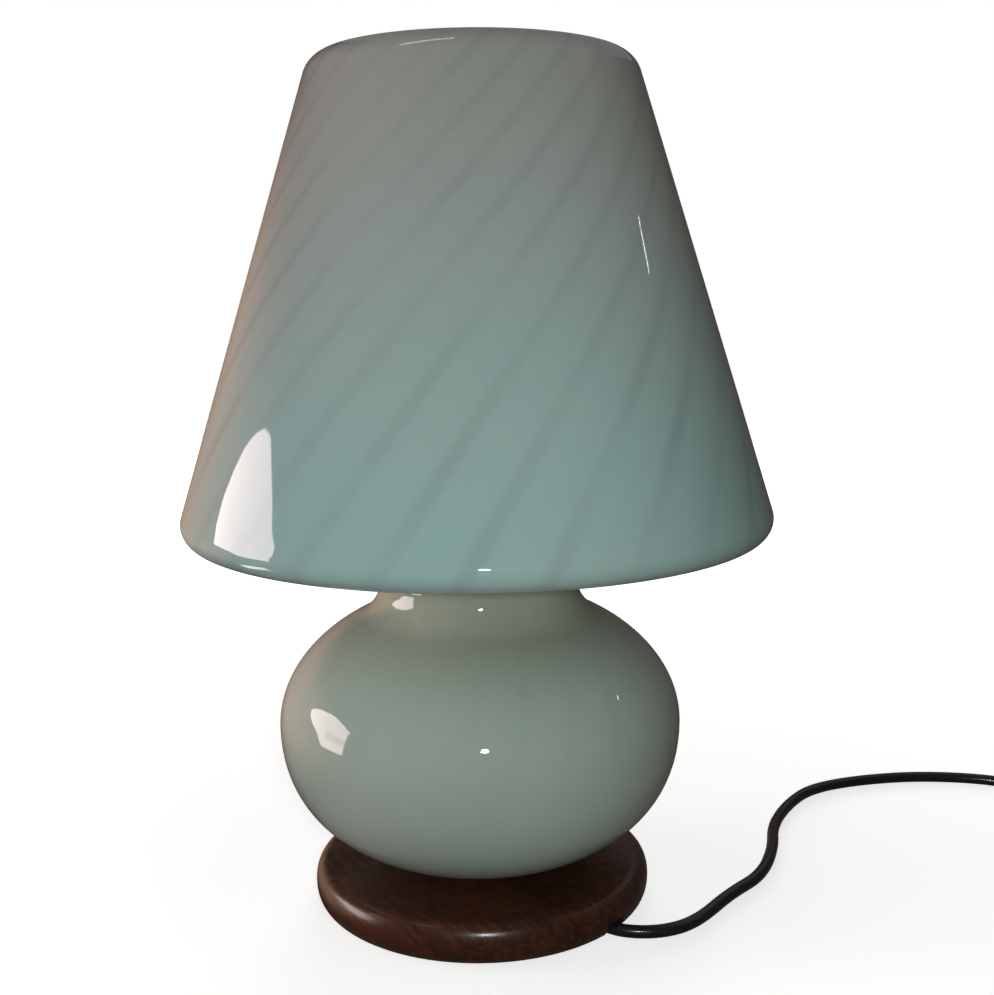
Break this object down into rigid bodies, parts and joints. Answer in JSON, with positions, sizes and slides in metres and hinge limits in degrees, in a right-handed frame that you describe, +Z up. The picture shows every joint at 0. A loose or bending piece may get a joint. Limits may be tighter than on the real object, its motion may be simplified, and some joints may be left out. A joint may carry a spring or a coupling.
{
  "type": "mushroom table lamp",
  "caption": "Mushroom table lamp: shade, neck and belly blown in one opal glass body on a turned wooden base, with lamp holder, bulb, flex, inline switch and plug.",
  "frame": {"origin": "on the lamp's axis, on the surface that it stands on", "axes": "+Z up along the axis, -Y towards the viewer, +X to the side that the flex runs to"},
  "size_m": [0.5043, 0.309, 0.4],
  "materials": {
    "opal_glass": "cased opal glass, glossy, with faint spiral stripes",
    "stained_wood": "stained dark and lacquered, gloss",
    "felt": "pressed wool felt",
    "black_rubber": "matt black",
    "zinc_steel": "zinc plated",
    "satin_brass": "satin",
    "contact_brass": "bright",
    "porcelain": "white glazed porcelain",
    "clear_glass": "clear",
    "cap_metal": "bright",
    "black_glass": "black vitrite, glossy",
    "solder": "satin",
    "tungsten": "dull",
    "black_flex": "smooth glossy black sheath",
    "nylon": "moulded",
    "brown_wire": "gloss",
    "blue_wire": "gloss",
    "black_plastic": "fine moulded texture",
    "rocker_plastic": "gloss",
    "nickel_pins": "nickel plated"
  },
  "bodies": {
    "lamp": {"base_gasket": "black_rubber", "base_nut": "zinc_steel", "base_washer": "zinc_steel", "centre_contact": "contact_brass", "clamp_base": "nylon", "clamp_bridge": "nylon", "clamp_screws": "zinc_steel", "cord_coil": "black_flex", "cord_link": "black_flex", "cord_run": "black_flex", "cord_tail": "black_flex", "cup_washer": "zinc_steel", "felt_pad": "felt", "glass_body": "opal_glass", "glass_bush": "black_rubber", "glass_nut": "zinc_steel", "glass_shade": "opal_glass", "holder_cap": "satin_brass", "holder_insert": "porcelain", "holder_shell": "satin_brass", "holder_sleeve": "porcelain", "holder_terminals": "contact_brass", "inner_cord": "black_flex", "pin_sleeves": "black_plastic", "plug_body": "black_plastic", "plug_pins": "nickel_pins", "screw_shell": "contact_brass", "stem_sleeve": "satin_brass", "strain_relief": "black_rubber", "switch_base": "black_plastic", "switch_contacts": "contact_brass", "switch_cover": "black_plastic", "switch_screws": "zinc_steel", "threaded_tube": "zinc_steel", "wire_live": "brown_wire", "wire_neutral": "blue_wire", "wood_base": "stained_wood"},
    "bulb": {"bulb_glass": "clear_glass", "bulb_cap": "cap_metal", "bulb_insulator": "black_glass", "bulb_contact": "solder", "bulb_stem": "clear_glass", "bulb_filament": "tungsten"},
    "rocker": {"switch_rocker": "rocker_plastic"}
  },
  "joints": [
    {"name": "bulb_turn", "type": "hinge", "parent": "lamp", "child": "bulb", "pos_m": [0, 0, 0.25], "axis": [0, 0, 1], "range_deg": [0, 1330]},
    {"name": "rocker_tilt", "type": "hinge", "parent": "lamp", "child": "rocker", "pos_m": [0.352, -0.006, 0.011], "axis": [1, 0, 0], "range_deg": [0, 18]}
  ]
}
